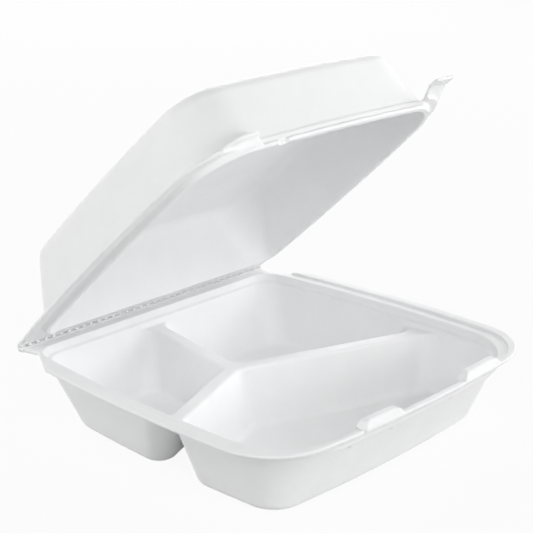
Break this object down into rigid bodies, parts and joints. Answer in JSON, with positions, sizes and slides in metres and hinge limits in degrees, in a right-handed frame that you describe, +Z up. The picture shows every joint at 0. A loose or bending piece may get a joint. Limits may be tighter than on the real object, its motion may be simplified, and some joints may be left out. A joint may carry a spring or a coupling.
{
  "type": "hinged food container",
  "caption": "Shallow square foam food container with a hinged domed lid, divided compartments and two front latches.",
  "frame": {"origin": "centre of the object's footprint, lid at rest, on the surface it stands on", "axes": "+Z up, +Y towards the hinge at the back, +X to the right seen from the front"},
  "size_m": [0.241, 0.2357, 0.2196],
  "materials": {
    "foam": "fine-grained white foam skin with a soft sheen"
  },
  "bodies": {
    "base": {"base": "foam"},
    "lid": {"lid": "foam"}
  },
  "joints": [
    {"name": "lid_hinge", "type": "hinge", "parent": "base", "child": "lid", "pos_m": [0, 0.11, 0.0464], "axis": [-1, 0, 0], "range_deg": [-42.2, 137.8]}
  ]
}
